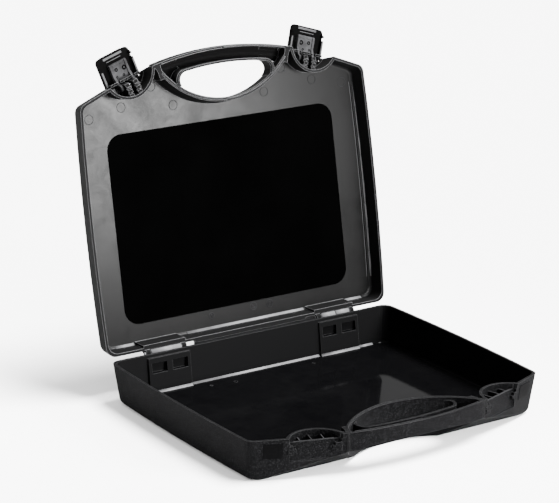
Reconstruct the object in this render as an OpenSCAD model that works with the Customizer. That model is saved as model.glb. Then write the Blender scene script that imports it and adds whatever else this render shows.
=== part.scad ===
// Laptop hard case: two plastic shells joined by a pair of pinned hinges at the back and
// closed by a pair of flap latches beside a moulded handle. Millimetres, +Z up, +X to the
// right, the handle towards -Y. The origin is the middle of the underside. It is drawn open.

/* [Shells] */
// Width of both shells along the rear rim
shell_w = 390; // [330:1:440]
// Distance from the rear rim to the front shoulders
shell_l = 288.5; // [250:0.5:330]
// How far each side bows outwards at its middle
side_bow = 3.3; // [0:0.1:6]
// Depth of the base shell
base_h = 48; // [40:1:70]
// Depth of the lid shell
lid_h = 23; // [20:0.5:40]
// Thickness of the side walls
wall = 3; // [2.4:0.1:4]
// Thickness of the base floor and of the lid roof
floor_t = 3; // [2:0.1:4]
// Gap between the two rims when the lid is shut
rim_gap = 0.3; // [0.2:0.05:1]
// Lean of the base walls from rim to underside
base_draft = 6; // [3:0.5:9]
// Lean of the lid walls from rim to roof
lid_draft = 3; // [1:0.5:5]
// Radius of the rear corners in plan
rear_r = 12; // [6:1:20]
// Radius of the front shoulders in plan
shoulder_r = 10; // [6:1:16]
// Radius of the edge round the underside
base_edge_r = 7; // [3:0.5:10]
// Distance from the rear rim to the front edge of the flat underside
under_v = 285; // [265:1:300]
// Rise of the sloped face from that edge to the handle, in degrees
under_slope = 34.5; // [28:0.5:38]
// Radius of the edge round the lid roof
lid_edge_r = 5; // [2:0.5:7]
// Radius where the inner walls meet the floor or the roof
inner_r = 2.5; // [1:0.5:4]

/* [Handle] */
// Distance from the rear rim to the middle of the handle's front face
handle_reach = 335.2; // [330:0.2:360]
// Half the width of the handle where it joins the shells
handle_half = 92; // [86:1:96]
// Width of the bar from the hand hole to its front face
bar_w = 19.5; // [15:0.5:20]
// Depth of the bar in the base
bar_base_h = 22; // [16:0.5:30]
// Depth of the bar in the lid
bar_lid_h = 17; // [14:0.5:19]
// Wall of the hollow bar
bar_wall = 2.8; // [2.4:0.1:3.4]
// Drop of the bar's inner wall below the base rim
bar_step = 3.4; // [1:0.1:4]
// Radius of the bar's lower and upper edges
bar_edge_r = 2.5; // [1:0.5:5]
// Rise of the bar's lower edge in the base, from its ends to its middle
bar_arch = 5.2; // [2:0.1:7]
// Distance from the rear rim to the front wall behind the hand hole
palm_v = 276; // [262:0.5:284]
// Lean of the wall behind the hand hole, in the base
palm_draft = 2; // [0.5:0.5:4]
// Radius of the lower edge of that wall
palm_edge_r = 6; // [1:0.5:7]
// Thickness of the wall behind the hand hole
palm_wall = 4.5; // [3:0.1:6]
// Radius of the rounded ends of the hand hole
palm_end_r = 10; // [6:0.5:12]
// Height of the tongues on the handle rims
tongue_h = 1.2; // [0.6:0.1:2]
// Width of the tongues on the handle rims
tongue_w = 1.1; // [0.8:0.1:1.2]
// Clearance round each tongue in its groove
tongue_gap = 0.25; // [0.2:0.05:0.4]

/* [Latches] */
// Distance from the middle plane to the outer end of each latch pocket
pocket_x = 153.9; // [150:0.1:158]
// Distance from the rear rim to that outer end
pocket_v = 304.6; // [300:0.1:308]
// Turn of the latches away from the front, in degrees
latch_turn = 17.6; // [16:0.1:20]
// Width of each pocket across its mouth
pocket_w = 60; // [56:0.5:62]
// Depth of each pocket behind its mouth
pocket_d = 21.5; // [20:0.1:24]
// Width of a latch
latch_w = 46; // [40:0.5:50]
// Offset of each latch from the middle of its pocket, outwards
latch_off = 1.4; // [0:0.1:3]
// Reach of a latch below its pin when shut
latch_l = 39.7; // [36:0.1:42]
// Thickness of the latch cover
latch_t = 2.2; // [1.6:0.1:3]
// Depth of the side walls of the latch cover
latch_side_d = 6.6; // [6:0.1:8]
// Width of the lever inside a latch
lever_w = 23.6; // [22:0.2:28]
// Thickness of the lever's pad
lever_t = 3.4; // [2.4:0.1:4]
// Radius of the latch pins
latch_pin_r = 1.5; // [1.2:0.05:2]
// Height of the latch pins above the rim
latch_pin_h = 14; // [12:0.1:15]
// Drop of the catch lugs below the rim
lug_drop = 14.5; // [12:0.1:17]
// Radius of the catch lugs
lug_r = 2.2; // [1.8:0.1:2.4]

/* [Hinges] */
// Distance from the middle plane to the middle of each hinge
hinge_x = 119; // [100:1:130]
// Length of a hinge knuckle
knuckle_w = 42; // [30:1:50]
// Width of each hinge cheek on the lid
cheek_w = 6; // [4:0.5:8]
// Radius of the knuckles and cheeks
hinge_r = 3.75; // [3.4:0.05:4.5]
// Distance of the hinge axis behind the rear rim
hinge_back = 3; // [2.6:0.1:3.4]
// Radius of the hinge pins
hinge_pin_r = 1.5; // [1.2:0.05:1.8]
// Depth of the boxes moulded inside the base at the hinges
hinge_box_d = 3; // [2:0.5:5]
// Length of the flanges that close the gap between the hinges
flange_l = 156; // [120:1:160]

/* [Lid panel] */
// Width of the panel on the inside of the lid
panel_w = 311; // [240:1:330]
// Length of the panel
panel_l = 221; // [160:1:226]
// Distance from the rear rim to the panel
panel_v = 28.5; // [20:0.5:34]
// Thickness of the panel
panel_t = 1; // [0.6:0.1:2]
// Corner radius of the panel
panel_r = 19; // [8:1:30]

/* [Fits] */
// Radial clearance of the running pins
pin_gap = 0.06; // [0.03:0.01:0.1]
// Radial interference of the pressed pins
pin_press = 0.01; // [0:0.005:0.02]
// Side clearance of the moving plastic parts
side_gap = 0.4; // [0.3:0.05:0.6]

/* [Pose] */
// Opening of the lid, in degrees
lid_open = 101; // [0:1:101]
// Opening of the latches, in degrees
latch_open = 90; // [0:1:90]

/* [Hidden] */
$fn = 64;
eps = 0.01;
over = 1;

// plan measures: y = 0 on the rear rim, -y towards the handle
half_w = shell_w / 2;
mouth = [cos(latch_turn), sin(latch_turn)];
pocket_end = [pocket_x, -pocket_v];
latch_mid = pocket_end - mouth * pocket_w / 2;
handle_v = pocket_v + (pocket_x - handle_half) * tan(latch_turn);
bar_sag = handle_reach - handle_v;
bar_r = (handle_half * handle_half + bar_sag * bar_sag) / (2 * bar_sag);
bar_span = asin(handle_half / bar_r);
bar_c = [0, bar_r - handle_reach];
palm_half = handle_half - 1.5;
palm_sag = handle_v - palm_v + 0.4;
palm_r = (palm_half * palm_half + palm_sag * palm_sag) / (2 * palm_sag);
palm_c = [0, -palm_v - palm_r];
pocket_r = (pocket_w * pocket_w / 4 + pocket_d * pocket_d) / (2 * pocket_d);

// handle details: end grooves, gutter and the ends of the tongues
groove_w = 1;
groove_d = 0.7;
groove_turn = 0.35;
gutter_turn = 0.8;
gutter_gap = 0.1;
palm_strip_turn = 7;
bar_strip_turn = 1.4;
strip_break = 0.2;
groove_floor = 0.2;
hole_tip_in = [3, 1];
hollow_past = 4;
hollow_turn = 0.3;
hollow_gap = 0.3;
hollow_wall = 0.1;
hollow_up = 0.7;
lip_gap = 0.5;
lip_lead = 0.2;
lip_past = 0.2;
arch_end = 8;

// latch measures, from the pin: out = away from the case, up = towards the lid roof
pin_in = 9.5;
pin_to_top = lid_h - latch_pin_h;
cover_in = pin_to_top + 0.3;
cover_out = cover_in + latch_t;
cover_r = 5;
cover_edge = 1.2;
side_t = 2.2;
side_top = 2.5;
side_lean = 2.5;
lip_w = 30;
lip_d = 2.6;
lip_h = 3;
boss_r = 4;
arm_t = 2.8;
arm_x = lever_w / 2 - arm_t / 2;
lever_in = cover_in - lever_t;
pad_top = -sqrt(pow(cover_in, 2) - pow(lever_in, 2)) - 0.2;
pad_l = 21;
bracket_w = 5.6;
bracket_x = arm_x - arm_t / 2 - side_gap - bracket_w / 2;
bracket_out = 4;
bracket_drop = latch_pin_h - 3;
bracket_slot_w = 1.6;
bracket_slot_d = 2.5;
bracket_slots = [-8.6, -3.4];
brow_t = floor_t - 0.4;
sweep_out = 30;

// what the base has for the latches, measured from the mouth of a pocket inwards
recess_w = pocket_w - 3;
recess_d = latch_side_d + side_gap - (cover_out - pin_in);
recess_drop = latch_l - latch_pin_h + 1;
recess_wall = 1.8;
front_drop = 6;
rib_t = 1.2;
rib_places = [-10.5, 3, 16];
lug_in = 2.9;
lug_reach = 0.6;
web_d = 4;
web_l = 10;
catch_gap = 0.3;
catch_neck = 0.8 * lug_r;

// hinge measures
box_w = knuckle_w + 2 * cheek_w + 2;
box_drop = 4;
window_x = 14;
window_w = 20.4;
window_drop = 10;
window_h = 12;
window_d = 2.8;
web_h = 9;
web_turn = 30;
relief_r = hinge_r + side_gap;
flange_d = [2.5, 6.5];
flange_z = [0.4, 3];
pin_l = knuckle_w + 2 * cheek_w;

function turned(a) = [cos(a), sin(a)];
function unit(v) = v / norm(v);
function left_of(p, q) = unit([p[1] - q[1], q[0] - p[0]]);

// outline of the shells: sharp corners, anticlockwise, each with its radius
bar_steps = 6;
bow_steps = 6;
right_side = concat(
    [for (k = [1:bar_steps]) let (a = bar_span * k / bar_steps)
        [bar_r * sin(a), bar_c[1] - bar_r * cos(a), 0]],
    [[pocket_x, -pocket_v, 0]],
    [for (k = [0:bow_steps]) let (t = 1 - k / bow_steps)
        [half_w + side_bow * (1 - pow(2 * t - 1, 2)), -shell_l * t,
            k == 0 ? shoulder_r : k == bow_steps ? rear_r : 0]]);
outline = concat([[0, -handle_reach, 0]], right_side,
    [for (k = [len(right_side) - 1:-1:0]) [-right_side[k][0], right_side[k][1], right_side[k][2]]]);

// one corner of the outline, moved inwards and rounded
function corner(p, c, q, r, inset) =
    let (n1 = left_of(p, c), n2 = left_of(c, q), lean = (n1 + n2) / (1 + n1 * n2),
        centre = c + lean * (inset + r), a1 = atan2(-n1[1], -n1[0]),
        turn = acos(min(1, n1 * n2)), steps = r > 0 ? 6 : 0)
    steps == 0 ? [centre] : [for (k = [0:steps]) centre + r * turned(a1 + turn * k / steps)];

function flat(p) = [p[0], p[1]];
function plan(inset) = let (n = len(outline))
    [for (k = [0:n - 1]) each corner(flat(outline[(k + n - 1) % n]), flat(outline[k]),
        flat(outline[(k + 1) % n]), outline[k][2], inset)];

// inward lean of a wall at depth d below its rim, in a shell h deep with edge radius r
function round_in(left, r) = left >= r ? 0 : r - sqrt(max(0, r * r - pow(r - left, 2)));
function lean(d, h, draft, r) = draft * d / h + round_in(h - d, r);
function levels(h, r) = concat([0], [for (a = [0:18:90]) h - r * (1 - sin(a))]);

// The shells are built from the rim at z = 0 to their depth at +z.

// filled form of a shell, h deep; start moves its open end
module shell_form(h, draft, r, inset, start) {
    hull() for (d = levels(h, r))
        translate([0, 0, d == 0 ? start : d - eps]) linear_extrude(eps)
            polygon(plan(inset + lean(d, h, draft, r)));
}

// round space in front of the palm wall, widened towards the rear by widen
module palm_form(h, draft, r, widen, start) {
    translate(palm_c) rotate_extrude($fn = 180)
        polygon(concat([[0, start]],
            [for (d = levels(h, r)) [palm_r + widen + lean(d, h, draft, r), d == 0 ? start : d]],
            [[palm_r + widen + lean(h, h, draft, r), h + over], [0, h + over]]));
}

// places what is drawn for a latch mouth: x along the mouth, -y out of the case
module at_latch(side) {
    mirror([side < 0 ? 1 : 0, 0, 0])
        translate([latch_mid[0], latch_mid[1], 0]) rotate(latch_turn) children();
}

// plate along the latch pin, w wide and centred on x, drawn as [out, up] from the pin
module across(w, x = 0) {
    translate([x - w / 2, pin_in, 0]) rotate([90, 0, 90]) linear_extrude(w)
        mirror([1, 0]) children();
}

module pin_rod(r, w, x = 0) {
    translate([x, pin_in, 0]) rotate([0, 90, 0]) cylinder(h = w, r = r, center = true);
}

module pocket_round(r) {
    translate([0, pocket_d - pocket_r]) circle(r, $fn = 120);
}

// strip of a ring on one half of the case, to the rear (1) or the front (-1) of its centre
module half_strip(centre, r, w, h, facing, span, side) {
    first = facing * 90 + (facing * side < 0 ? strip_break : -strip_break - span);
    translate(centre) rotate(first) rotate_extrude(angle = span, $fn = 240)
        translate([r - w / 2, 0]) square([w, h]);
}

// tongues of one half of the handle, or with more width and height their grooves
module rim_strips(w, h, side) {
    half_strip(palm_c, palm_r + palm_wall / 2, w, h, 1, asin(palm_half / palm_r) - palm_strip_turn, side);
    half_strip(bar_c, bar_r - bar_wall / 2, w, h, -1, bar_span - bar_strip_turn, side);
}

module rim_grooves(from, side) {
    translate([0, 0, from - over])
        rim_strips(tongue_w + 2 * tongue_gap, tongue_h + groove_floor + over, side);
}

// corners of the hand hole: the centre of the rounding, where it meets the palm wall and the bar
hole_r = bar_r - bar_w;
hole_y = (pow(palm_r - palm_end_r, 2) - pow(hole_r - palm_end_r, 2) + pow(bar_c[1], 2)
    - pow(palm_c[1], 2)) / (2 * (bar_c[1] - palm_c[1]));
hole_end = [sqrt(pow(palm_r - palm_end_r, 2) - pow(hole_y - palm_c[1], 2)), hole_y];
tip_y = (pow(palm_r, 2) - pow(hole_r, 2) + pow(bar_c[1], 2) - pow(palm_c[1], 2))
    / (2 * (bar_c[1] - palm_c[1]));
hole_tip = [sqrt(pow(palm_r, 2) - pow(tip_y - palm_c[1], 2)), tip_y];
to_palm = unit(hole_end - palm_c);
to_bar = unit(hole_end - bar_c);
hole_span = asin(to_bar[0]);
gutter_span = bar_span - gutter_turn;

function on_bar(r, a) = bar_c + r * [sin(a), -cos(a)];

module hole_corner(h, side) {
    mirror([side < 0 ? 1 : 0, 0, 0]) linear_extrude(h) difference() {
        polygon([hole_end, palm_c + to_palm * (palm_r + palm_wall / 2), hole_tip + hole_tip_in,
            bar_c + to_bar * (hole_r + bar_wall / 2)]);
        translate(hole_end) circle(palm_end_r);
    }
}

// sector beyond an end of the hand hole, up to the end of the gutter
module beyond_hole() {
    polygon([hole_end, bar_c + to_bar * bar_r, on_bar(bar_r, gutter_span - hollow_turn),
        on_bar(hole_r - hollow_past, gutter_span - hollow_turn), palm_c + to_palm * (palm_r + palm_wall)]);
}

// open corner between the rounded end of the inner wall and the outer wall
module corner_hollow(h, side) {
    mirror([side < 0 ? 1 : 0, 0, 0]) translate([0, 0, -over]) linear_extrude(h + over)
        difference() {
            intersection() {
                beyond_hole();
                translate(bar_c) circle(bar_r - bar_wall - hollow_wall, $fn = 240);
            }
            translate(hole_end) circle(palm_end_r + bar_wall + hollow_gap);
        }
}

// top of the inner wall, w wide and from z to z + h, held off the palm wall by gap
module inner_lip(z, h, grow, gap) {
    along_bar(hole_span + lip_past) translate([hole_r - grow, z]) square([bar_wall + 2 * grow, h]);
    for (side = [-1, 1]) mirror([side < 0 ? 1 : 0, 0, 0]) translate([0, 0, z]) linear_extrude(h)
        intersection() {
            beyond_hole();
            translate(palm_c) circle(palm_r - gap, $fn = 180);
            difference() {
                translate(hole_end) circle(palm_end_r + bar_wall + grow);
                translate(hole_end) circle(palm_end_r - grow);
            }
        }
}

module along_bar(span) {
    translate(bar_c) rotate(-90 - span) rotate_extrude(angle = 2 * span, $fn = 240) children();
}

function bar_outline(r0, r1, z0, z1, e) = concat([[r0, z0], [r1, z0]],
    [for (a = [0:15:90]) [r1 - e, z1 - e] + e * turned(a)],
    [for (a = [90:15:180]) [r0 + e, z1 - e] + e * turned(a)]);

module arch_cut(h, arch) {
    half = handle_half - arch_end;
    r = (half * half + arch * arch) / (2 * arch);
    translate([0, 0, h - arch + r]) rotate([90, 0, 0]) cylinder(h = 2 * handle_reach, r = r, $fn = 720);
}

// half of the handle: a hollow bar, open at the rim, whose closed side rises by arch
module handle_bar(h, arch) {
    gutter_r = bar_w / 2 - bar_wall - gutter_gap;
    corner_h = h - bar_edge_r / 2;
    open_h = h - arch - bar_wall;
    difference() {
        union() {
            along_bar(bar_span) polygon(bar_outline(hole_r, bar_r, 0, h, bar_edge_r));
            for (side = [-1, 1]) hole_corner(corner_h, side);
        }
        along_bar(gutter_span)
            polygon(bar_outline(hole_r + bar_wall, bar_r - bar_wall, -over, open_h, gutter_r));
        for (side = [-1, 1]) corner_hollow(open_h - hollow_up, side);
        if (arch > 0) arch_cut(h, arch);
    }
}

// grooves that mark the ends of the bar on the front
module bar_ends(h) {
    for (a = [-1, 1]) translate(bar_c) rotate(-90 + a * (bar_span - groove_turn))
        translate([bar_r - groove_d, -groove_w / 2, -over]) cube([groove_d + over, groove_w, h + 2 * over]);
}

// wall round the back of a latch pocket
module pocket_wall(h) {
    for (side = [-1, 1]) at_latch(side) translate([0, 0, -2 * over])
        linear_extrude(h + 4 * over) difference() {
            pocket_round(pocket_r + wall);
            pocket_round(pocket_r);
        }
}

// boxes moulded on the inside of the rear wall at the hinges
module hinge_boxes(h, draft, drop) {
    for (side = [-1, 1]) translate([side * hinge_x - box_w / 2, 0, 0]) rotate([90, 0, 90])
        linear_extrude(box_w) polygon([[over, drop], [-wall - hinge_box_d, drop],
            [-wall - hinge_box_d - draft, h + over], [over, h + over]]);
}

// what the sloped face takes off below the pockets, moved inwards by inset
module sloped_front(inset) {
    edge = -under_v + inset * tan((90 - under_slope) / 2);
    reach = handle_reach + edge + over;
    translate([-shell_w, 0, 0]) rotate([90, 0, 90]) linear_extrude(2 * shell_w)
        polygon([[edge, base_h - inset], [edge, base_h + over], [edge - reach, base_h + over],
            [edge - reach, base_h - inset - reach * tan(under_slope)]]);
}

module base_form() {
    difference() {
        shell_form(base_h, base_draft, base_edge_r, 0, 0);
        palm_form(base_h, palm_draft, palm_edge_r, 0, -over);
        sloped_front(0);
    }
}

module base_cavity() {
    depth = base_h - floor_t;
    difference() {
        shell_form(depth, base_draft, inner_r, wall, -over);
        palm_form(depth + over, palm_draft, inner_r, palm_wall, -2 * over);
        sloped_front(floor_t);
        pocket_wall(depth);
        hinge_boxes(depth, base_draft, box_drop);
        for (side = [-1, 1]) at_latch(side) {
            translate([-recess_w / 2 - wall, -over, -2 * over])
                cube([recess_w + 2 * wall, recess_d + recess_wall + over, recess_drop + wall + 2 * over]);
            for (x = rib_places) translate([x - rib_t / 2, 0, front_drop])
                cube([rib_t, pocket_d + over, base_h]);
        }
    }
}

// cuts for a latch in the base: the pocket above the ribs and the recess for the latch cover
module latch_seat() {
    slope_end = recess_drop + recess_d + over;
    translate([0, 0, -over]) linear_extrude(front_drop + over) pocket_round(pocket_r);
    translate([-recess_w / 2, 0, 0]) rotate([90, 0, 90]) linear_extrude(recess_w)
        polygon([[recess_d, -over], [recess_d, recess_drop], [-over, slope_end],
            [-2 * recess_d, slope_end], [-2 * recess_d, -over]]);
}

// catch lug on one end of a recess, with the web that backs it
module lug(end) {
    stop = recess_w / 2 + over;
    latch_side = latch_w / 2 + end * latch_off;
    lug_x = latch_side - side_t - lug_reach;
    web_x = latch_side + side_gap;
    mirror([end < 0 ? 1 : 0, 0, 0]) {
        translate([lug_x, lug_in, lug_drop]) rotate([0, 90, 0]) cylinder(h = stop - lug_x, r = lug_r);
        translate([web_x, recess_d - web_d, lug_drop - web_l / 2])
            cube([stop - web_x, web_d + over, web_l]);
    }
}

// windows in the faces of the hinge boxes
module box_windows() {
    for (side = [-1, 1], half = [-1, 1])
        translate([side * hinge_x + half * window_x - window_w / 2,
            -wall - hinge_box_d - base_draft, window_drop])
            cube([window_w, base_draft + window_d, window_h]);
}

module hinge_rod(r, w, side, x = 0) {
    translate([side * hinge_x + x, hinge_back, 0]) rotate([0, 90, 0])
        cylinder(h = w, r = r, center = true);
}

// web that carries a knuckle or a cheek on the rear wall, below or above the axis
module hinge_web(w, side, x = 0) {
    translate([side * hinge_x + x - w / 2, 0, 0]) rotate([90, 0, 90]) linear_extrude(w)
        polygon([[-wall / 2, 0.5], [hinge_back, 0], [hinge_back, 0] + hinge_r * turned(web_turn),
            [-wall / 2, web_h]]);
}

// flange along the rear rim between the hinges, drawn as [back, depth]
module rear_flange(section) {
    translate([-flange_l / 2, 0, 0]) rotate([90, 0, 90]) linear_extrude(flange_l) polygon(section);
}

module from_rim(up) {
    translate([0, handle_reach / 2, base_h]) mirror([0, 0, up ? 0 : 1]) children();
}

// turns what is drawn with the lid shut to its opening
module on_lid() {
    translate([0, handle_reach / 2 + hinge_back, base_h]) rotate([-lid_open, 0, 0])
        translate([0, -hinge_back, 0]) children();
}

// places a part of a latch, drawn from its pin with the latch shut
module on_latch(side) {
    on_lid() at_latch(side) translate([0, pin_in, latch_pin_h]) rotate([-latch_open, 0, 0])
        translate([0, -pin_in, 0]) children();
}

module base_shell() {
    color("#26272a") from_rim(false) {
        difference() {
            union() {
                difference() {
                    base_form();
                    base_cavity();
                    for (side = [-1, 1]) at_latch(side) latch_seat();
                }
                difference() {
                    handle_bar(bar_base_h, bar_arch);
                    inner_lip(-over, bar_step + over, lip_gap, -palm_wall);
                }
                rear_flange([[-wall / 2, 0], [flange_d[0], 0], [flange_d[0], flange_z[0]],
                    [flange_d[1], flange_z[0]], [flange_d[1], flange_z[1]],
                    [-wall / 2, flange_z[1] + flange_d[1] + wall / 2]]);
                for (side = [-1, 1]) {
                    hinge_rod(hinge_r, knuckle_w - 2 * side_gap, side);
                    hinge_web(knuckle_w - 2 * side_gap, side);
                    at_latch(side) for (end = [-1, 1]) lug(end);
                }
            }
            box_windows();
            bar_ends(bar_base_h);
            for (side = [-1, 1]) {
                hinge_rod(hinge_pin_r + pin_gap, knuckle_w, side);
                for (end = [-1, 1])
                    hinge_rod(relief_r, cheek_w + side_gap, side, end * (knuckle_w + cheek_w) / 2);
            }
            rim_grooves(0, 1);
        }
        translate([0, 0, -tongue_h]) rim_strips(tongue_w, tongue_h + eps, -1);
    }
}

module lid_form() {
    difference() {
        shell_form(lid_h, lid_draft, lid_edge_r, 0, rim_gap);
        palm_form(lid_h, lid_draft, lid_edge_r, 0, -over);
    }
}

module lid_cavity() {
    depth = lid_h - floor_t;
    difference() {
        shell_form(depth, lid_draft, inner_r, wall, -over);
        palm_form(depth + over, lid_draft, inner_r, palm_wall, -2 * over);
        pocket_wall(depth);
        hinge_boxes(depth, lid_draft, -over);
    }
}

// what the lid has for a latch: brackets for the pin, and a round brow over it
module latch_mount() {
    roof_up = pin_to_top - floor_t + eps;
    translate([0, 0, latch_pin_h]) {
        for (x = [-bracket_x, bracket_x]) across(bracket_w, x) difference() {
            polygon([[pin_in - pocket_d - wall / 2, -bracket_drop], [bracket_out, -bracket_drop],
                [bracket_out, roof_up], [pin_in - pocket_d - wall / 2, roof_up]]);
            for (out = bracket_slots) translate([out, -bracket_drop - over])
                square([bracket_slot_w, bracket_slot_d + over]);
        }
        across(latch_w - 2 * side_t - 2 * side_gap, latch_off) intersection() {
            difference() {
                circle(pin_to_top, $fn = 120);
                circle(pin_to_top - brow_t, $fn = 120);
            }
            translate([-eps, -1]) square(2 * pin_to_top);
        }
    }
}

// space that a latch sweeps as it turns
module latch_sweep() {
    foot = rim_gap - latch_pin_h - over;
    translate([0, 0, latch_pin_h]) {
        across(latch_w + 2 * side_gap, latch_off) difference() {
            translate([0, foot]) square([sweep_out, lid_h + 2 * over]);
            circle(pin_to_top, $fn = 120);
        }
        for (end = [-1, 1]) across(side_t + 2 * side_gap, latch_off + end * (latch_w - side_t) / 2)
            translate([side_top - side_gap, foot]) square([sweep_out, lid_h + 2 * over]);
        for (x = [-arm_x, arm_x]) across(arm_t + 2 * side_gap, x)
            translate([-boss_r - side_gap, foot]) square([sweep_out, lid_h + 2 * over]);
    }
}

module lid_shell() {
    color("#2b2c2f") on_lid() {
        difference() {
            union() {
                difference() {
                    lid_form();
                    lid_cavity();
                    for (side = [-1, 1]) at_latch(side)
                        linear_extrude(lid_h - floor_t) pocket_round(pocket_r);
                }
                difference() {
                    handle_bar(bar_lid_h, 0);
                    translate([-half_w, -handle_reach - over, -over])
                        cube([shell_w, shell_l, rim_gap + over]);
                }
                inner_lip(rim_gap - bar_step, bar_step + over, -lip_lead, lip_gap);
                rear_flange([[-wall / 2, rim_gap], [flange_d[0], rim_gap], [flange_d[0], flange_z[1]],
                    [-wall / 2, flange_z[1] + flange_d[0] + wall / 2]]);
                for (side = [-1, 1]) {
                    at_latch(side) latch_mount();
                    for (end = [-1, 1]) {
                        x = end * (knuckle_w + cheek_w) / 2;
                        hinge_rod(hinge_r, cheek_w, side, x);
                        hinge_web(cheek_w, side, x);
                    }
                }
            }
            bar_ends(bar_lid_h);
            for (side = [-1, 1]) {
                at_latch(side) {
                    latch_sweep();
                    translate([0, 0, latch_pin_h]) pin_rod(latch_pin_r - pin_press, lever_w);
                }
                hinge_rod(relief_r, knuckle_w, side);
                hinge_rod(hinge_pin_r - pin_press, pin_l + 2 * over, side);
            }
            rim_grooves(rim_gap, -1);
        }
        translate([0, 0, rim_gap - tongue_h]) rim_strips(tongue_w, tongue_h + eps, 1);
    }
}

module lid_panel() {
    color("#050506") on_lid() translate([0, -panel_v - panel_l / 2, lid_h - floor_t - panel_t]) {
        w = panel_w / 2 - panel_r;
        l = panel_l / 2 - panel_r;
        linear_extrude(panel_t) {
            square([panel_w, 2 * l], center = true);
            square([2 * w, panel_l], center = true);
            for (x = [-w, w], y = [-l, l]) translate([x, y]) circle(panel_r);
        }
    }
}

// catch in the side wall of the cover, which snaps over a lug
module catch_cut() {
    at = [pin_in - lug_in, -latch_pin_h - lug_drop];
    translate(at) circle(lug_r + catch_gap);
    translate(at + [-2 * latch_side_d, -catch_neck]) square([2 * latch_side_d, 2 * catch_neck]);
}

module latch_cover(side) {
    tip = -latch_l;
    color("#1c1d20") on_latch(side) translate([latch_off, 0, 0]) {
        difference() {
            across(latch_w) polygon([[cover_in, pin_to_top], [cover_in, tip], [cover_out, tip],
                [cover_out, pin_to_top - cover_edge], [cover_out - cover_edge, pin_to_top]]);
            for (end = [-1, 1]) mirror([end < 0 ? 1 : 0, 0, 0])
                translate([latch_w / 2, 0, tip]) rotate([90, 0, 0])
                    linear_extrude(2 * cover_out, center = true) difference() {
                        translate([-cover_r, -over]) square(cover_r + over);
                        translate([-cover_r, cover_r]) circle(cover_r);
                    }
        }
        across(lip_w) polygon([[cover_out - eps, tip + lip_h + 2], [cover_out + lip_d, tip + 1],
            [cover_out + lip_d, tip], [cover_out - eps, tip]]);
        for (x = [-1, 1]) across(side_t, x * (latch_w - side_t) / 2) difference() {
            polygon([[cover_in + eps, -side_top], [cover_out - latch_side_d, -side_top - side_lean],
                [cover_out - latch_side_d, tip + cover_r + side_lean], [cover_in + eps, tip + cover_r]]);
            catch_cut();
        }
    }
}

module latch_lever(side) {
    foot = pad_top - pad_l;
    color("#3a3b3e") on_latch(side) {
        across(lever_w) polygon([[lever_in, pad_top], [cover_in, pad_top], [cover_in, foot],
            [lever_in + 0.8, foot], [lever_in, foot + 0.8]]);
        for (x = [-arm_x, arm_x]) difference() {
            union() {
                pin_rod(boss_r, arm_t, x);
                across(arm_t, x) polygon([[0, boss_r], [0, -boss_r], [lever_in - 1, pad_top - 6],
                    [lever_in - 1, foot + 2], [lever_in, foot], [cover_in, foot], [cover_in, 1]]);
            }
            pin_rod(latch_pin_r + pin_gap, arm_t + over, x);
        }
    }
}

module latch_pin(side) {
    color("silver") on_latch(side) pin_rod(latch_pin_r, lever_w);
}

module hinge_pin(side) {
    color("silver") on_lid() hinge_rod(hinge_pin_r, pin_l, side);
}

base_shell();
lid_shell();
lid_panel();
latch_cover(-1);  // left_latch_cover
latch_cover(1);  // right_latch_cover
latch_lever(-1);  // left_latch_lever
latch_lever(1);  // right_latch_lever
latch_pin(-1);  // left_latch_pin
latch_pin(1);  // right_latch_pin
hinge_pin(-1);  // left_hinge_pin
hinge_pin(1);  // right_hinge_pin
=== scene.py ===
import math
import bmesh
import bpy
from mathutils import Matrix, Vector


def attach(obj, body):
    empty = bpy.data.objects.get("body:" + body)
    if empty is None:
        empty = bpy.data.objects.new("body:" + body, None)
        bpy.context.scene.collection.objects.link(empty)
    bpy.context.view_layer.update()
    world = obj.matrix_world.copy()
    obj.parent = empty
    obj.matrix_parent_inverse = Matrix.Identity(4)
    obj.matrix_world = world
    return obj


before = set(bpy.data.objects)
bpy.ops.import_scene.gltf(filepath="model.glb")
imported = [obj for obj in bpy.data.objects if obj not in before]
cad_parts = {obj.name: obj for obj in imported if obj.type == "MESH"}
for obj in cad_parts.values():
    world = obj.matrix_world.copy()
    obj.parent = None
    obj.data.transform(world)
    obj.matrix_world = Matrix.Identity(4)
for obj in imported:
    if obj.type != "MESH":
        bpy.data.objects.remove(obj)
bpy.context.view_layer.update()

print("solids loaded:", len(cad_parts))

# the case, in millimetres and degrees
mm = 0.001
caseMid = 167.6  # the rear rim is this far behind the origin
baseHeight = 48  # height of the base's rim and of the hinge
baseFloor = 3  # inside of the base's floor
lidRoof = 20  # inside of the lid's roof, above the lid's rim
hingeBack = 3  # the hinge is this far behind the rear rim
lidOpen = 101  # how far the lid stands open

lidAxis = Vector((0, caseMid + hingeBack, baseHeight)) * mm
lidTurn = (Matrix.Translation(lidAxis) @ Matrix.Rotation(-math.radians(lidOpen), 4, "X")
           @ Matrix.Translation(-lidAxis))


# places: x across, v from the rear rim towards the handle, h above the lid's rim
def lidPoint(x, v, h):
    return lidTurn @ (Vector((x, caseMid - v, baseHeight + h)) * mm)


# material helpers: those named for a node add it to a material's tree and give back its output
def newMaterial(name):
    material = bpy.data.materials.new(name)
    material.use_nodes = True
    tree = material.node_tree
    shader = next(n for n in tree.nodes if n.type == "BSDF_PRINCIPLED")
    return material, tree, shader


def feed(tree, socket, value):
    if hasattr(value, "is_linked"):
        tree.links.new(value, socket)
    else:
        socket.default_value = value


def mathNode(tree, operation, *values):
    node = tree.nodes.new("ShaderNodeMath")
    node.operation = operation
    for socket, value in zip(node.inputs, values):
        feed(tree, socket, value)
    return node.outputs[0]


def vectorNode(tree, operation, first, second):
    node = tree.nodes.new("ShaderNodeVectorMath")
    node.operation = operation
    feed(tree, node.inputs[0], first)
    feed(tree, node.inputs["Scale"] if operation == "SCALE" else node.inputs[1], second)
    return node.outputs["Value" if operation == "DOT_PRODUCT" else "Vector"]


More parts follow.
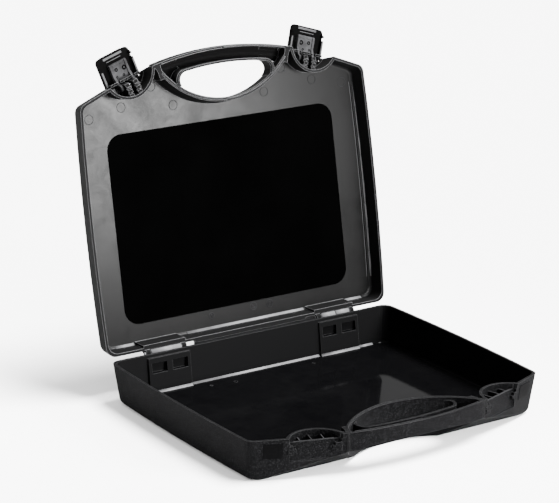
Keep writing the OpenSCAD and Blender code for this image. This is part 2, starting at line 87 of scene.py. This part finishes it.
def noiseNode(tree, vector, scale, detail=2.0, roughness=0.5, distortion=0.0):
    node = tree.nodes.new("ShaderNodeTexNoise")
    tree.links.new(vector, node.inputs["Vector"])
    node.inputs["Scale"].default_value = scale
    node.inputs["Detail"].default_value = detail
    node.inputs["Roughness"].default_value = roughness
    node.inputs["Distortion"].default_value = distortion
    return node.outputs["Fac"]


def rangeNode(tree, value, span, to=(0, 1), smooth=False):
    node = tree.nodes.new("ShaderNodeMapRange")
    node.interpolation_type = "SMOOTHSTEP" if smooth else "LINEAR"
    tree.links.new(value, node.inputs["Value"])
    node.inputs["From Min"].default_value, node.inputs["From Max"].default_value = span
    node.inputs["To Min"].default_value, node.inputs["To Max"].default_value = to
    return node.outputs["Result"]


def blendNode(tree, factor, first, second):
    return mathNode(tree, "ADD",
                    mathNode(tree, "MULTIPLY", first, mathNode(tree, "SUBTRACT", 1.0, factor)),
                    mathNode(tree, "MULTIPLY", second, factor))


def swingNode(tree, value, middle, swing):
    # middle, give or take half the swing
    return mathNode(tree, "ADD", middle,
                    mathNode(tree, "MULTIPLY", mathNode(tree, "SUBTRACT", value, 0.5), swing))


def rampNode(tree, value, dark, light):
    node = tree.nodes.new("ShaderNodeValToRGB")
    tree.links.new(value, node.inputs["Fac"])
    node.color_ramp.elements[0].color = (*dark, 1)
    node.color_ramp.elements[1].color = (*light, 1)
    return node.outputs["Color"]


def mixNode(tree, factor, first, tone):
    node = tree.nodes.new("ShaderNodeMix")
    node.data_type = "RGBA"
    tree.links.new(factor, node.inputs[0])
    tree.links.new(first, node.inputs[6])
    node.inputs[7].default_value = (*tone, 1)
    return node.outputs[2]


def bevelNode(tree, radius, samples):
    node = tree.nodes.new("ShaderNodeBevel")
    node.samples = samples
    node.inputs["Radius"].default_value = radius
    return node.outputs["Normal"]


def bumpNode(tree, height, strength, distance, normal=None):
    node = tree.nodes.new("ShaderNodeBump")
    tree.links.new(height, node.inputs["Height"])
    node.inputs["Strength"].default_value = strength
    node.inputs["Distance"].default_value = distance
    if normal is not None:
        tree.links.new(normal, node.inputs["Normal"])
    return node.outputs["Normal"]


def outsideMask(tree, place, normal, centre):
    # 1 on faces that look away from the middle of a shell, 0 on those that look at it
    away = vectorNode(tree, "SUBTRACT", place, centre)
    return mathNode(tree, "GREATER_THAN", vectorNode(tree, "DOT_PRODUCT", away, normal), 0.0)


# the moulded shells: depth runs in metres from depthFrom along depthAlong,
# plateSpan is where the smooth floor or roof begins, and rimSpan is where the rim does
# the shells' colours carry painted light and shade: painted shade off the lid's roof, a painted highlight on
# the rim, painted light and shade on inner faces that look forward and painted highlights along edges; the
# speckle is grain
shellLooks = {
    "basePlastic": {"centre": (0, 0, 0.034), "depthFrom": (0, 0, 0), "depthAlong": (0, 0, -1),
                    "plateSpan": (-0.012, -0.004), "rimSpan": (-0.0472, -0.0476),
                    "dark": (0.0006, 0.0006, 0.0007), "light": (0.0013, 0.0013, 0.0014), "wallShade": 1.0,
                    "rimHighlightTone": (0.002, 0.002, 0.0021), "paintedFacingTone": (0.0024, 0.0024, 0.0025),
                    "speckleTone": (0.0085, 0.0085, 0.009), "edgeHighlightTone": (0.017, 0.017, 0.0175),
                    "outRough": 0.7, "plateRough": 0.05, "wallRough": 0.3, "level": 0.014, "edge": 0.0008,
                    "grainScale": 800, "grainBump": 1.0, "grainDistance": 0.0004},
    "lidPlastic": {"centre": lidPoint(0, 150, 4), "depthFrom": lidPoint(0, 0, 0),
                   "depthAlong": lidPoint(0, 0, 1000) - lidPoint(0, 0, 0),
                   "plateSpan": (0.0165, 0.0185), "rimSpan": (0.0008, 0.0004),
                   "dark": (0.0022, 0.0022, 0.0023), "light": (0.0042, 0.0042, 0.0045), "wallShade": 0.25,
                   "rimHighlightTone": (0.002, 0.002, 0.0021), "paintedFacingTone": (0.0006, 0.0006, 0.0006),
                   "speckleTone": (0.003, 0.003, 0.003), "edgeHighlightTone": (0.11, 0.11, 0.113),
                   "outRough": 0.9, "plateRough": 0.35, "wallRough": 0.95, "level": 0.05, "edge": 0.0007,
                   "grainScale": 1000, "grainBump": 0.6, "grainDistance": 0.0002},
}
# what both shells share: flow, scuff and fine are noises, with scale, detail, roughness and distortion,
# and each span is where a mask passes from 0 to 1
shellPattern = {"flow": (7, 4.0, 0.6, 1.4), "scuff": (55, 5.0, 0.65, 1.2), "fine": (900, 2.0, 0.5),
                "grainDetail": 2.0, "grainRoughness": 0.6, "flowShare": 0.6, "scuffShare": 0.4,
                "toneSpan": (0.35, 0.65), "rearSpan": (-0.7, -0.95), "speckleSpan": (0.52, 0.68),
                "edgeSpan": (0.98, 0.82), "edgeSamples": 6, "plateSwing": 1.5, "outSwing": 0.3,
                "innerGrain": 0.03}


def shellMaterial(name, look):
    material, tree, shader = newMaterial(name)
    pattern = shellPattern
    coordinates = tree.nodes.new("ShaderNodeTexCoord")
    place, normal = coordinates.outputs["Object"], coordinates.outputs["Normal"]
    outside = outsideMask(tree, place, normal, look["centre"])
    inside = mathNode(tree, "SUBTRACT", 1.0, outside)
    along = Vector(look["depthAlong"])
    start = along.dot(Vector(look["depthFrom"]))
    depth = vectorNode(tree, "DOT_PRODUCT", place, along)
    deep = rangeNode(tree, depth, [start + d for d in look["plateSpan"]], smooth=True)
    onPlate = mathNode(tree, "MULTIPLY", inside, deep)
    grain = noiseNode(tree, place, look["grainScale"], pattern["grainDetail"], pattern["grainRoughness"])
    flow, scuff, fine = (noiseNode(tree, place, *pattern[k]) for k in ("flow", "scuff", "fine"))
    tone = mathNode(tree, "ADD", mathNode(tree, "MULTIPLY", flow, pattern["flowShare"]),
                    mathNode(tree, "MULTIPLY", scuff, pattern["scuffShare"]))

    # colour: cloudy plastic, with painted shade by wallShade off the plate, then a painted highlight on the
    # rim, painted light and shade on inner faces that look forward, such as the base's rear wall, grain
    # outside and painted highlights along edges
    colour = rampNode(tree, rangeNode(tree, tone, pattern["toneSpan"]), look["dark"], look["light"])
    # painted shade: away from the floor or roof the colour is scaled down, on the lid to a quarter
    colour = vectorNode(tree, "SCALE", colour, blendNode(tree, onPlate, look["wallShade"], 1.0))
    # painted highlight: the rim's face gets a tone a little lighter than the walls beside it
    onRim = rangeNode(tree, depth, [start + d for d in look["rimSpan"]])
    colour = mixNode(tree, onRim, colour, look["rimHighlightTone"])
    # painted light and shade by facing: inner faces that look forward take a set tone, lighter on the base's
    # rear wall, darker on the lid's roof
    facing = tree.nodes.new("ShaderNodeSeparateXYZ")
    tree.links.new(normal, facing.inputs[0])
    rear = rangeNode(tree, facing.outputs["Y"], pattern["rearSpan"], smooth=True)
    colour = mixNode(tree, mathNode(tree, "MULTIPLY", rear, inside), colour, look["paintedFacingTone"])
    speckle = rangeNode(tree, grain, pattern["speckleSpan"])
    colour = mixNode(tree, mathNode(tree, "MULTIPLY", speckle, outside), colour, look["speckleTone"])
    rounded = bevelNode(tree, look["edge"], pattern["edgeSamples"])
    flat = tree.nodes.new("ShaderNodeNewGeometry").outputs["Normal"]
    # painted highlights: where the bevel normal turns away from the face's own, at edges, the colour goes to
    # a light tone
    onEdge = rangeNode(tree, vectorNode(tree, "DOT_PRODUCT", rounded, flat), pattern["edgeSpan"])
    colour = mixNode(tree, onEdge, colour, look["edgeHighlightTone"])
    tree.links.new(colour, shader.inputs["Base Color"])

    # finish: smoother on the floor or roof, duller on the walls, and grained outside
    plateRough = swingNode(tree, tone, look["plateRough"], pattern["plateSwing"] * look["plateRough"])
    outRough = swingNode(tree, grain, look["outRough"], pattern["outSwing"])
    innerRough = blendNode(tree, onPlate, look["wallRough"], plateRough)
    tree.links.new(blendNode(tree, outside, innerRough, outRough), shader.inputs["Roughness"])
    height = blendNode(tree, outside, mathNode(tree, "MULTIPLY", fine, pattern["innerGrain"]), grain)
    tree.links.new(bumpNode(tree, height, look["grainBump"], look["grainDistance"], rounded),
                   shader.inputs["Normal"])
    shader.inputs["Specular IOR Level"].default_value = look["level"]
    return material


# the smaller mouldings and marks, several of them tones of painted light and shade, and what they share
smoothLooks = {
    "latchPlastic": {"dark": (0.0004, 0.0004, 0.0004), "light": (0.001, 0.001, 0.001),
                     "rough": 0.8, "level": 0.008},
    "leverPlastic": {"dark": (0.007, 0.007, 0.0073), "light": (0.022, 0.022, 0.023),
                     "rough": 0.6, "level": 0.03},
    # painted highlight: a light grey on the thin rib and rail strips
    "ribHighlightGrey": {"dark": (0.016, 0.016, 0.0165), "light": (0.03, 0.03, 0.031),
                "rough": 0.6, "level": 0.1},
    # painted highlight: a bright tone on the strips along fillets and hinge knuckles
    "beadHighlight": {"dark": (0.05, 0.05, 0.0515), "light": (0.08, 0.08, 0.0825),
                  "rough": 0.5, "level": 0.12},
    # painted light and shade: a lighter tone with less sheen than the shells, for the small marks and rib
    # caps
    "markLightShade": {"dark": (0.006, 0.006, 0.0063), "light": (0.012, 0.012, 0.0125),
                  "rough": 0.7, "level": 0.02},
    "plateBlack": {"dark": (0.0005, 0.0005, 0.0005), "light": (0.0012, 0.0012, 0.0013),
                   "rough": 0.55, "level": 0.006},
    # painted shade: near black for the dark strips and rings that stand for shade
    "recessShadeBlack": {"dark": (0.0003, 0.0003, 0.0003), "light": (0.0009, 0.0009, 0.0009),
                    "rough": 0.7, "level": 0.0},
}
smoothPattern = {"cloud": (60, 4.0, 0.6), "fine": (1400, 2.0, 0.5), "toneSpan": (0.35, 0.65),
                 "roughSpan": (0.3, 0.7), "roughSwing": 0.06, "edge": 0.0004, "edgeSamples": 4,
                 "bump": 0.25, "bumpDistance": 0.00005}


def smoothMaterial(name, look):
    material, tree, shader = newMaterial(name)
    pattern, rough = smoothPattern, look["rough"]
    place = tree.nodes.new("ShaderNodeTexCoord").outputs["Object"]
    cloud, fine = (noiseNode(tree, place, *pattern[k]) for k in ("cloud", "fine"))
    tree.links.new(rampNode(tree, rangeNode(tree, cloud, pattern["toneSpan"]), look["dark"], look["light"]),
                   shader.inputs["Base Color"])
    swing = (rough - pattern["roughSwing"], rough + pattern["roughSwing"])
    tree.links.new(rangeNode(tree, cloud, pattern["roughSpan"], swing), shader.inputs["Roughness"])
    rounded = bevelNode(tree, pattern["edge"], pattern["edgeSamples"])
    tree.links.new(bumpNode(tree, fine, pattern["bump"], pattern["bumpDistance"], rounded),
                   shader.inputs["Normal"])
    shader.inputs["Specular IOR Level"].default_value = look["level"]
    return material


# the black sheet in the lid
panelLook = {"dark": (0.0001, 0.0001, 0.0001), "light": (0.0004, 0.0004, 0.0004), "cloud": (12, 3.0, 0.5),
             "fine": (2400, 3.0, 0.6), "roughSpan": (0.3, 0.7), "rough": (0.5, 0.6), "bump": 0.3,
             "bumpDistance": 0.00006, "level": 0.0}


def panelMaterial():
    material, tree, shader = newMaterial("panelBlack")
    look = panelLook
    place = tree.nodes.new("ShaderNodeTexCoord").outputs["Object"]
    fine, cloud = (noiseNode(tree, place, *look[k]) for k in ("fine", "cloud"))
    tree.links.new(rampNode(tree, cloud, look["dark"], look["light"]), shader.inputs["Base Color"])
    tree.links.new(rangeNode(tree, cloud, look["roughSpan"], look["rough"]), shader.inputs["Roughness"])
    tree.links.new(bumpNode(tree, fine, look["bump"], look["bumpDistance"]), shader.inputs["Normal"])
    shader.inputs["Specular IOR Level"].default_value = look["level"]
    return material


# the pins: drawn steel, its fine lines along x
steelLook = {"stretch": (30, 1800, 1800), "lines": (1.0, 3.0, 0.6), "dark": (0.12, 0.12, 0.125),
             "light": (0.2, 0.2, 0.21), "roughSpan": (0.3, 0.7), "rough": (0.22, 0.36)}


def steelMaterial():
    material, tree, shader = newMaterial("drawnSteel")
    look = steelLook
    place = tree.nodes.new("ShaderNodeTexCoord").outputs["Object"]
    drawn = tree.nodes.new("ShaderNodeMapping")
    drawn.inputs["Scale"].default_value = look["stretch"]
    tree.links.new(place, drawn.inputs["Vector"])
    lines = noiseNode(tree, drawn.outputs["Vector"], *look["lines"])
    tree.links.new(rampNode(tree, lines, look["dark"], look["light"]), shader.inputs["Base Color"])
    tree.links.new(rangeNode(tree, lines, look["roughSpan"], look["rough"]), shader.inputs["Roughness"])
    shader.inputs["Metallic"].default_value = 1.0
    return material


finishes = {name: shellMaterial(name, look) for name, look in shellLooks.items()}
finishes.update({name: smoothMaterial(name, look) for name, look in smoothLooks.items()})
finishes["panelBlack"] = panelMaterial()
finishes["drawnSteel"] = steelMaterial()

nodeFinishes = {
    "base_shell": "basePlastic", "lid_shell": "lidPlastic", "lid_panel": "panelBlack",
    "left_latch_cover": "latchPlastic", "right_latch_cover": "latchPlastic",
    "left_latch_lever": "leverPlastic", "right_latch_lever": "leverPlastic",
    "left_latch_pin": "drawnSteel", "right_latch_pin": "drawnSteel",
    "left_hinge_pin": "drawnSteel", "right_hinge_pin": "drawnSteel",
}
for nodeName, finish in nodeFinishes.items():
    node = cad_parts[nodeName]
    node.data.materials.clear()
    node.data.materials.append(finishes[finish])
print("materials given to", len(nodeFinishes), "solids")


# frames: each turns millimetres at a place on the case into metres in the scene
def lidFrame(x, v, h, turn=0.0):
    return (lidTurn @ Matrix.Scale(mm, 4) @ Matrix.Translation((x, caseMid - v, baseHeight + h))
            @ Matrix.Rotation(turn, 4, "Z"))


def baseFrame(x, v, z, turn=0.0):
    return Matrix.Scale(mm, 4) @ Matrix.Translation((x, caseMid - v, z)) @ Matrix.Rotation(turn, 4, "Z")


# the right latch: the middle of its pocket's mouth, the place of its pin from there, and how far it is open
latch = {"pocket": (125.305, -313.671, 0), "pocketTurn": 17.6, "pin": (0, 9.5, 14), "open": 90}


def pocketFrame(side):
    return (Matrix.Diagonal((side, 1, 1, 1)) @ Matrix.Translation(latch["pocket"])
            @ Matrix.Rotation(math.radians(latch["pocketTurn"]), 4, "Z"))


def latchFrame(side, across, out, up):
    turned = (pocketFrame(side) @ Matrix.Translation(latch["pin"])
              @ Matrix.Rotation(-math.radians(latch["open"]), 4, "X"))
    return (lidTurn @ Matrix.Scale(mm, 4) @ Matrix.Translation((0, caseMid, baseHeight)) @ turned
            @ Matrix.Translation((across, -out, up)))


# mesh helpers: addTurned, addBlock and addStrip put a form in millimetres into a bmesh, placed by a frame
def addTurned(shape, frameMatrix, profile, steps=48):
    verts = [shape.verts.new((r, 0, h)) for r, h in profile]
    edges = [shape.edges.new((verts[k], verts[(k + 1) % len(verts)])) for k in range(len(verts))]
    before = set(shape.verts) - set(verts)
    bmesh.ops.spin(shape, geom=verts + edges, cent=(0, 0, 0), axis=(0, 0, 1), angle=math.tau, steps=steps,
                   use_merge=True, use_duplicate=False)
    made = [v for v in shape.verts if v not in before]
    bmesh.ops.transform(shape, matrix=frameMatrix, verts=made)


def addBlock(shape, frameMatrix, size, edge=0.08):
    made = bmesh.ops.create_cube(shape, size=1.0)["verts"]
    bmesh.ops.scale(shape, vec=size, verts=made)
    edges = list({e for v in made for e in v.link_edges})
    cut = bmesh.ops.bevel(shape, geom=edges, offset=edge, offset_type="OFFSET", segments=2, profile=0.5,
                          affect="EDGES", material=-1)
    made = list({v for v in made if v.is_valid} | set(cut["verts"]))
    bmesh.ops.transform(shape, matrix=frameMatrix, verts=made)


def addStrip(shape, frameMatrix, outline, width):
    # a bar across x: outline holds y, z pairs
    verts = [shape.verts.new((-width / 2, y, z)) for y, z in outline]
    face = shape.faces.new(verts)
    pushed = [g for g in bmesh.ops.extrude_face_region(shape, geom=[face], use_keep_orig=True)["geom"]
              if isinstance(g, bmesh.types.BMVert)]
    bmesh.ops.translate(shape, vec=(width, 0, 0), verts=pushed)
    bmesh.ops.transform(shape, matrix=frameMatrix, verts=verts + pushed)


def arcStrip(outer, thick, start, end, steps):
    turns = [math.radians(start + (end - start) * k / steps) for k in range(steps + 1)]
    inner = outer - thick
    return ([(outer * math.cos(t), outer * math.sin(t)) for t in turns]
            + [(inner * math.cos(t), inner * math.sin(t)) for t in reversed(turns)])


def ringProfile(outer, width, base, top):
    inner = outer - width
    soft = width * 0.25
    return [(outer, base), (outer, top + soft), (outer - soft, top), (inner + soft, top), (inner, top + soft),
            (inner, base)]


def finishPiece(shape, name, finish, body, smooth=False):
    bmesh.ops.recalc_face_normals(shape, faces=shape.faces)
    mesh = bpy.data.meshes.new(name)
    shape.to_mesh(mesh)
    shape.free()
    for face in mesh.polygons:
        face.use_smooth = smooth
    mesh.materials.append(finishes[finish])
    piece = bpy.data.objects.new(name, mesh)
    bpy.context.scene.collection.objects.link(piece)
    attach(piece, body)


sunk = 0.1  # the foot of a round mark is this far inside the wall

# round ejector marks inside the lid, in a tone of painted light and shade: x and v of each
ejectors = {"spots": [(-175, 271), (175, 271), (-132, 279.5), (132, 279.5), (-63, 273.5), (63, 273.5),
                      (-90, 298.6), (90, 298.6)],
            "radius": 5.8, "width": 0.6, "proud": 0.3}


def makeEjectorMarks():
    shape = bmesh.new()
    for x, v in ejectors["spots"]:
        addTurned(shape, lidFrame(x, v, lidRoof),
                  ringProfile(ejectors["radius"], ejectors["width"], sunk, -ejectors["proud"]))
    finishPiece(shape, "lidEjectorMarks", "markLightShade", "lid")


# plain setting dials of the mould, below the panel, in a tone of painted light and shade: x, v, radius and
# turn, in radians, of each
dials = {"spots": [(18.5, 22.2, 4.9, 0.8), (41.5, 21.6, 4.9, 2.3), (-40.5, 20.8, 3.8, 1.2)],
         "proud": 0.35, "ring": 0.7, "innerRing": 0.45, "innerRadius": 0.5, "barLength": 1.5, "barWidth": 0.8,
         "barRise": 0.1, "ticks": 12, "tickRadius": 0.72, "tickSize": (0.9, 0.3), "tickEdge": 0.05}


def makeDials():
    shape = bmesh.new()
    proud, ticks = dials["proud"], dials["ticks"]
    for x, v, radius, turn in dials["spots"]:
        spot = lidFrame(x, v, lidRoof, turn)
        addTurned(shape, spot, ringProfile(radius, dials["ring"], sunk, -proud))
        addTurned(shape, spot, ringProfile(radius * dials["innerRadius"], dials["innerRing"], sunk, -proud))
        addBlock(shape, spot @ Matrix.Translation((0, 0, -proud / 2)),
                 (radius * dials["barLength"], dials["barWidth"], proud + dials["barRise"]))
        for k in range(ticks):
            if k % (ticks // 2):
                arm = Matrix.Rotation(math.tau * k / ticks, 4, "Z") @ Matrix.Translation(
                    (radius * dials["tickRadius"], 0, -proud / 2))
                addBlock(shape, spot @ arm, (*dials["tickSize"], proud), dials["tickEdge"])
    finishPiece(shape, "lidMouldDials", "markLightShade", "lid")


# painted highlights: bright strips along the fillets where the rear walls meet the base's floor and the lid's
# roof:
# x, v, rise, radius and width
filletHighlights = {"thick": 0.3, "steps": 14, "baseArc": (12, -78), "lidArc": (-12, 78),
           "baseSpots": [(0, 12.0, 7.05, 4.05, 178), (-119, 14.0, 5.3, 2.3, 56), (119, 14.0, 5.3, 2.3, 56),
                         (-158, 12.0, 7.05, 4.05, 20), (158, 12.0, 7.05, 4.05, 20)],
           "lidSpots": [(6, 9.0, 15.95, 4.05, 164), (161, 9.0, 15.95, 4.05, 24),
                        (-161, 9.0, 15.95, 4.05, 24)]}


def makeFilletHighlights():
    for body, makeFrame in (("base", baseFrame), ("lid", lidFrame)):
        shape = bmesh.new()
        for x, v, rise, radius, width in filletHighlights[body + "Spots"]:
            outline = arcStrip(radius, filletHighlights["thick"], *filletHighlights[body + "Arc"], filletHighlights["steps"])
            addStrip(shape, makeFrame(x, v, rise), outline, width)
        finishPiece(shape, body + "RearFilletHighlight", "beadHighlight", body, True)


# painted lines along both sides of the lid, in short lengths that follow its bow: a painted highlight on the
# fillet, a dark groove strip of painted shade and a rib strip of painted highlight, the last two with how far
# out they lie and how wide they are
sideLightShadeLines = {"centre": 189.2, "middle": 150, "bow": 0.00015, "first": 30, "step": 30, "count": 8, "overlap": 0.1,
          "rise": 15.95, "radius": 4.05, "thick": 0.3, "arc": (18, 52), "steps": 8,
          "groove": (-0.2, 1.3), "rib": (-1.5, 0.9), "ribThick": 0.5, "ribDrop": 0.05}


def makeSideLightShadeLines():
    fillet, groove, rib = bmesh.new(), bmesh.new(), bmesh.new()
    step, bow = sideLightShadeLines["step"], sideLightShadeLines["bow"]
    length = step + sideLightShadeLines["overlap"]
    outline = arcStrip(sideLightShadeLines["radius"], sideLightShadeLines["thick"], *sideLightShadeLines["arc"], sideLightShadeLines["steps"])
    for side in (-1, 1):
        for k in range(sideLightShadeLines["count"]):
            v = sideLightShadeLines["first"] + step * (k + 0.5)
            off = v - sideLightShadeLines["middle"]
            x = sideLightShadeLines["centre"] - bow * off * off
            turn = side * (math.atan(-2 * bow * off) - math.pi / 2)
            addStrip(fillet, lidFrame(side * x, v, sideLightShadeLines["rise"], turn), outline, length)
            for shape, (place, width) in ((groove, sideLightShadeLines["groove"]), (rib, sideLightShadeLines["rib"])):
                spot = lidFrame(side * (x + place), v, lidRoof - sideLightShadeLines["ribDrop"], turn)
                addBlock(shape, spot, (length, width, sideLightShadeLines["ribThick"]))
    finishPiece(fillet, "lidSideFilletHighlights", "beadHighlight", "lid", True)
    finishPiece(groove, "lidSideGrooveShade", "recessShadeBlack", "lid")
    finishPiece(rib, "lidSideRibHighlights", "ribHighlightGrey", "lid")


# painted highlights on the hinge knuckles: thin bright bands, x and width of each
knuckleHighlights = {"spots": [(-119, 40), (108.8, 19.2), (129.2, 19.2)], "radius": 3.86, "thick": 0.4,
           "arc": (195, 95), "steps": 20}


def makeKnuckleHighlights():
    shape = bmesh.new()
    outline = arcStrip(knuckleHighlights["radius"], knuckleHighlights["thick"], *knuckleHighlights["arc"], knuckleHighlights["steps"])
    for x, width in knuckleHighlights["spots"]:
        addStrip(shape, baseFrame(x, -hingeBack, baseHeight), outline, width)
    finishPiece(shape, "hingeKnuckleHighlights", "beadHighlight", "base", True)


# the ends of the two rear ledges, up to the right hinge: v and height of each, its depth and thickness
ledges = {"x": 84.4, "width": 13.6, "edge": 0.2,
          "lid": {"place": (-1.15, 1.7), "size": (2.7, 2.6)},
          "base": {"place": (-3.1, 46.3), "size": (6.8, 2.6)}}


def makeLedgeEnds():
    for body, makeFrame in (("lid", lidFrame), ("base", baseFrame)):
        shape = bmesh.new()
        end = ledges[body]
        spot = makeFrame(ledges["x"], *end["place"])
        addBlock(shape, spot, (ledges["width"], *end["size"]), ledges["edge"])
        finishPiece(shape, body + "LedgeEnd", body + "Plastic", body)


# smooth plates on the corner walls beside the latches: x, v, height and turn, in degrees, of each
plates = {"spots": [(-168.9, 297.0, 34.6, -21.4), (168.9, 297.0, 34.6, 21.4)], "size": (21, 0.7, 17),
          "lean": 7.1, "edge": 0.15}


def makePlates():
    shape = bmesh.new()
    lean = Matrix.Rotation(math.radians(plates["lean"]), 4, "X")
    for x, v, rise, turn in plates["spots"]:
        addBlock(shape, baseFrame(x, v, rise, math.radians(turn)) @ lean, plates["size"], plates["edge"])
    finishPiece(shape, "baseCornerPlates", "plateBlack", "base")


# painted highlights: light caps on the tops of the ribs in the latch pockets: across, depth, width and length
# of each
ribCapHighlights = {"spots": [(-10.5, 12.4, 1.3, 12.2), (3, 13.3, 1.3, 14), (16, 11.4, 1.3, 10), (1, 6.3, 45, 1.7)],
           "top": 42.1, "thick": 0.4, "edge": 0.1}


def makeRibCapHighlights():
    shape = bmesh.new()
    for side in (-1, 1):
        pocket = Matrix.Scale(mm, 4) @ Matrix.Translation((0, caseMid, 0)) @ pocketFrame(side)
        for across, depth, width, length in ribCapHighlights["spots"]:
            addBlock(shape, pocket @ Matrix.Translation((across, depth, ribCapHighlights["top"])),
                     (width, length, ribCapHighlights["thick"]), ribCapHighlights["edge"])
    finishPiece(shape, "basePocketCapHighlights", "markLightShade", "base")


# small raised rings on the floor of the base, in a tone of painted light and shade: x, v and radius of each
floorMarks = {"spots": [(-43, 29.6, 2.6), (69.4, 26.4, 2.2), (-73.8, 25.2, 2.0)], "width": 0.6, "proud": 0.35,
              "steps": 24}


def makeFloorMarks():
    shape = bmesh.new()
    for x, v, radius in floorMarks["spots"]:
        addTurned(shape, baseFrame(x, v, baseFloor),
                  ringProfile(radius, floorMarks["width"], -sunk, floorMarks["proud"]), floorMarks["steps"])
    finishPiece(shape, "baseFloorMarks", "markLightShade", "base")


# what shows inside an open latch, each across and up from the pin: rings of painted shade with their radius,
# pads with their width and height, rails and bars of painted highlight across, out and up with their width,
# depth and height
latchMarks = {"rings": [(-6.2, -19.4, 2.9), (4.6, -20.6, 2.2), (-2.5, -11.6, 1.6), (6.6, -12.4, 1.4)],
              "ringOut": 5.9, "ringShare": 0.6, "ringProud": 0.35, "ringSteps": 24,
              "pads": [(-6, -25.6, 7, 1.1), (4.5, -25.6, 7, 1.1), (0, -8.6, 21, 0.8)],
              "padOut": 5.75, "padDeep": 0.5, "padEdge": 0.1,
              "rails": [(-20.5, 4.8, -16, 2.2, 0.4, 17.6), (23.3, 4.8, -16, 2.2, 0.4, 17.6)],
              "bars": [(1.4, 9.05, -36.6, 26, 0.6, 2.6), (1.4, 9.05, -32.4, 20, 0.5, 0.8)], "railEdge": 0.12}


def makeLatchMarks(side, body):
    name = body.replace("_latch", "")
    faceOut = Matrix.Rotation(math.radians(-90), 4, "X")
    shape = bmesh.new()
    for across, up, radius in latchMarks["rings"]:
        profile = ringProfile(radius, radius * latchMarks["ringShare"], sunk, -latchMarks["ringProud"])
        addTurned(shape, latchFrame(side, across, latchMarks["ringOut"], up) @ faceOut, profile,
                  latchMarks["ringSteps"])
    # painted shade: dark rings on the pad
    finishPiece(shape, name + "PadShadeRings", "recessShadeBlack", body)
    shape = bmesh.new()
    for across, up, width, tall in latchMarks["pads"]:
        addBlock(shape, latchFrame(side, across, latchMarks["padOut"], up),
                 (width, latchMarks["padDeep"], tall), latchMarks["padEdge"])
    finishPiece(shape, name + "PadRibs", "leverPlastic", body)
    shape = bmesh.new()
    for across, out, up, width, deep, tall in latchMarks["rails"] + latchMarks["bars"]:
        addBlock(shape, latchFrame(side, across, out, up), (width, deep, tall), latchMarks["railEdge"])
    # painted highlights: light strips on the cover's rails and bars
    finishPiece(shape, name + "CoverRibHighlights", "ribHighlightGrey", body)


makeEjectorMarks()
makeDials()
makeFilletHighlights()
makeSideLightShadeLines()
makeKnuckleHighlights()
makeLedgeEnds()
makePlates()
makeRibCapHighlights()
makeFloorMarks()
for side, body in ((-1, "left_latch"), (1, "right_latch")):
    makeLatchMarks(side, body)
print("marks made")


# studio: a pale floor in white surroundings
studio = {"floorHalf": 14.0, "floorTone": 0.9, "floorRough": 0.9, "floorLevel": 0.1, "worldTone": 1.0,
          "worldStrength": 1.9}


def makeFloor():
    shape = bmesh.new()
    bmesh.ops.create_grid(shape, x_segments=1, y_segments=1, size=studio["floorHalf"])
    mesh = bpy.data.meshes.new("studioFloor")
    shape.to_mesh(mesh)
    shape.free()
    floor = bpy.data.objects.new("studioFloor", mesh)
    bpy.context.scene.collection.objects.link(floor)
    material, _, shader = newMaterial("floorPaint")
    shader.inputs["Base Color"].default_value = (studio["floorTone"],) * 3 + (1,)
    shader.inputs["Roughness"].default_value = studio["floorRough"]
    shader.inputs["Specular IOR Level"].default_value = studio["floorLevel"]
    mesh.materials.append(material)


def makeWorld():
    world = bpy.data.worlds.new("studioWorld")
    world.use_nodes = True
    background = world.node_tree.nodes["Background"]
    background.inputs["Color"].default_value = (studio["worldTone"],) * 3 + (1,)
    background.inputs["Strength"].default_value = studio["worldStrength"]
    bpy.context.scene.world = world


# a broad light from above, and a softbox that puts a sheen on the upper left of the open lid
sky = {"from": (0.75, -0.45, 1.9), "strength": 25.0, "spread": 30}
softbox = {"place": (0.406, -0.818, 0.432), "aim": (-0.17, 0.22, 0.33), "size": (0.4, 0.32), "power": 13,
           "spread": 70}


def addLamp(data, beam, place=(0, 0, 0)):
    lamp = bpy.data.objects.new(data.name, data)
    lamp.location = place
    lamp.rotation_euler = beam.to_track_quat("-Z", "Y").to_euler()
    bpy.context.scene.collection.objects.link(lamp)


def makeSky():
    data = bpy.data.lights.new("overheadSky", "SUN")
    data.energy = sky["strength"]
    data.angle = math.radians(sky["spread"])
    addLamp(data, -Vector(sky["from"]))


def makeSoftbox():
    data = bpy.data.lights.new("sheenSoftbox", "AREA")
    data.shape = "RECTANGLE"
    data.size, data.size_y = softbox["size"]
    data.energy = softbox["power"]
    data.spread = math.radians(softbox["spread"])
    addLamp(data, Vector(softbox["aim"]) - Vector(softbox["place"]), softbox["place"])


makeFloor()
makeWorld()
makeSky()
makeSoftbox()
print("studio ready")


# camera at the photograph's view: angles in degrees, focal length in pixels of its width
view = {"azimuth": -33.91922, "elevation": 17.47309, "roll": 0.51835, "place": (-1.49793, -2.11449, 1.00688),
        "focal": 2449.867, "frameWidth": 559, "sensor": 36, "clip": (0.05, 60)}


def makeCamera():
    azimuth, elevation, roll = (math.radians(view[k]) for k in ("azimuth", "elevation", "roll"))
    back = Vector((math.sin(azimuth) * math.cos(elevation), -math.cos(azimuth) * math.cos(elevation),
                   math.sin(elevation)))
    across = Vector((math.cos(azimuth), math.sin(azimuth), 0))
    up = back.cross(across)
    rolledAcross = across * math.cos(roll) + up * math.sin(roll)
    rolledUp = up * math.cos(roll) - across * math.sin(roll)
    data = bpy.data.cameras.new("photoCamera")
    data.sensor_width = view["sensor"]
    data.lens = view["focal"] * data.sensor_width / view["frameWidth"]
    data.clip_start, data.clip_end = view["clip"]
    camera = bpy.data.objects.new("photoCamera", data)
    turn = Matrix((rolledAcross, rolledUp, back)).transposed().to_4x4()
    camera.matrix_world = Matrix.Translation(view["place"]) @ turn
    bpy.context.scene.collection.objects.link(camera)
    bpy.context.scene.camera = camera


makeCamera()
print("camera ready")
